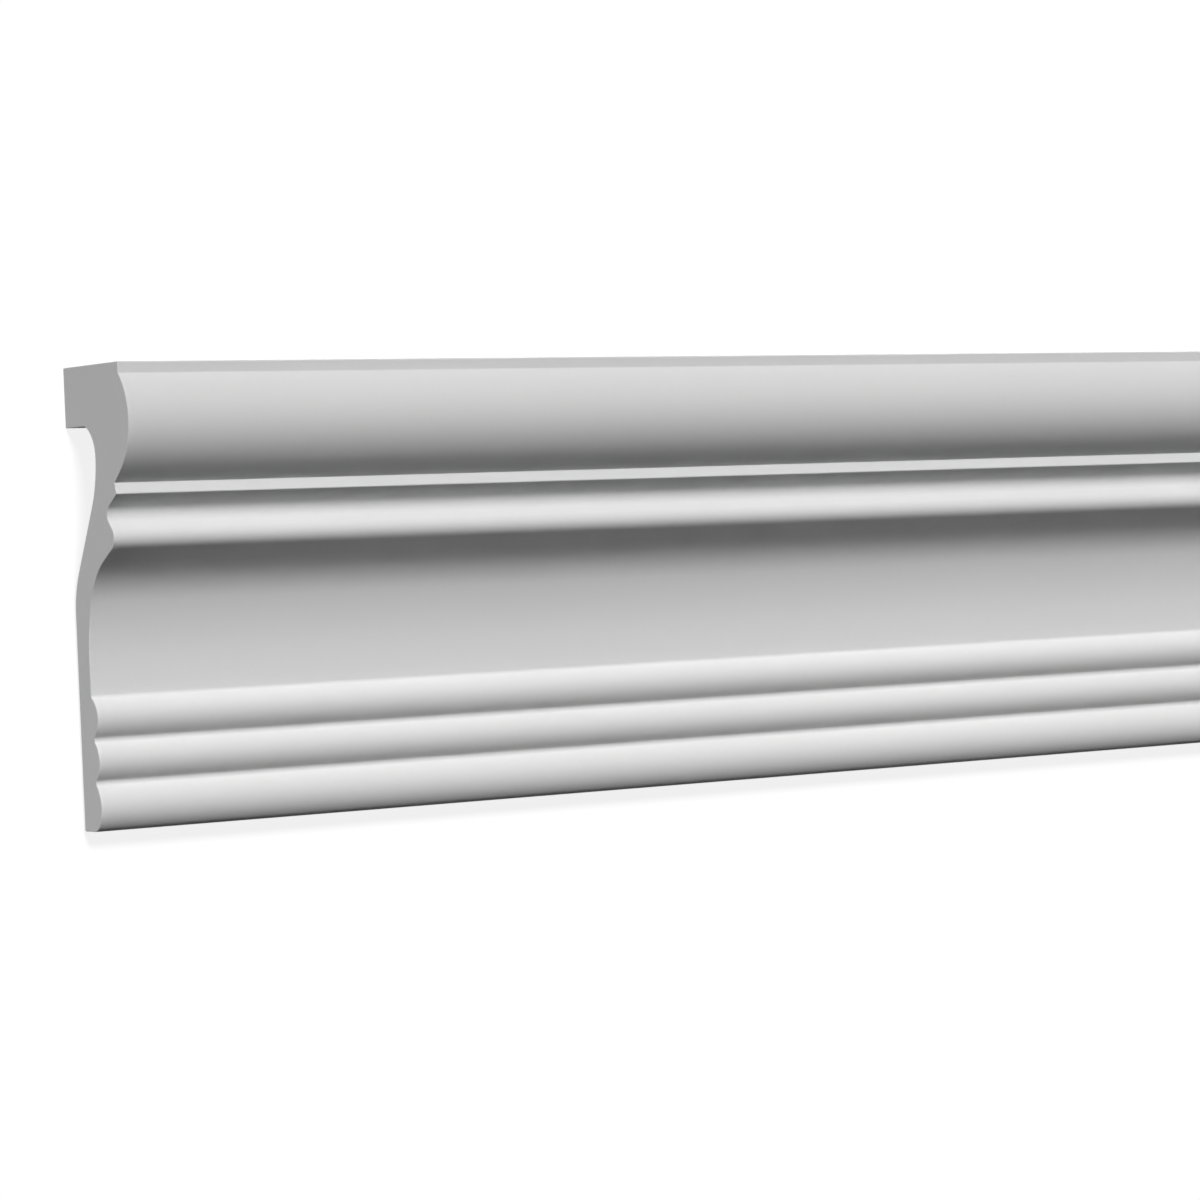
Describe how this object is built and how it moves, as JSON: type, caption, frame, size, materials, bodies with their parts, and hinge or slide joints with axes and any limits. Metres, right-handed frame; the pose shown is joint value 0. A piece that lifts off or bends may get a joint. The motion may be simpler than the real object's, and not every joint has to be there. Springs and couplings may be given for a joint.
{
  "type": "dado rail",
  "caption": "Straight length of white dado rail with a torus, small fillet, scotia, bead and cove above a flat band and a row of reeds, hollowed at the back.",
  "frame": {"origin": "middle of the rail's length and width, on the plane of the top block's wall face", "axes": "+X along the rail, +Y up the face to the top edge, +Z out of the wall; the rail lies on its back"},
  "size_m": [2, 0.12, 0.0339],
  "materials": {
    "white_primed_polymer": "white primer, eggshell"
  },
  "bodies": {
    "root": {"dado_rail": "white_primed_polymer"}
  },
  "joints": []
}
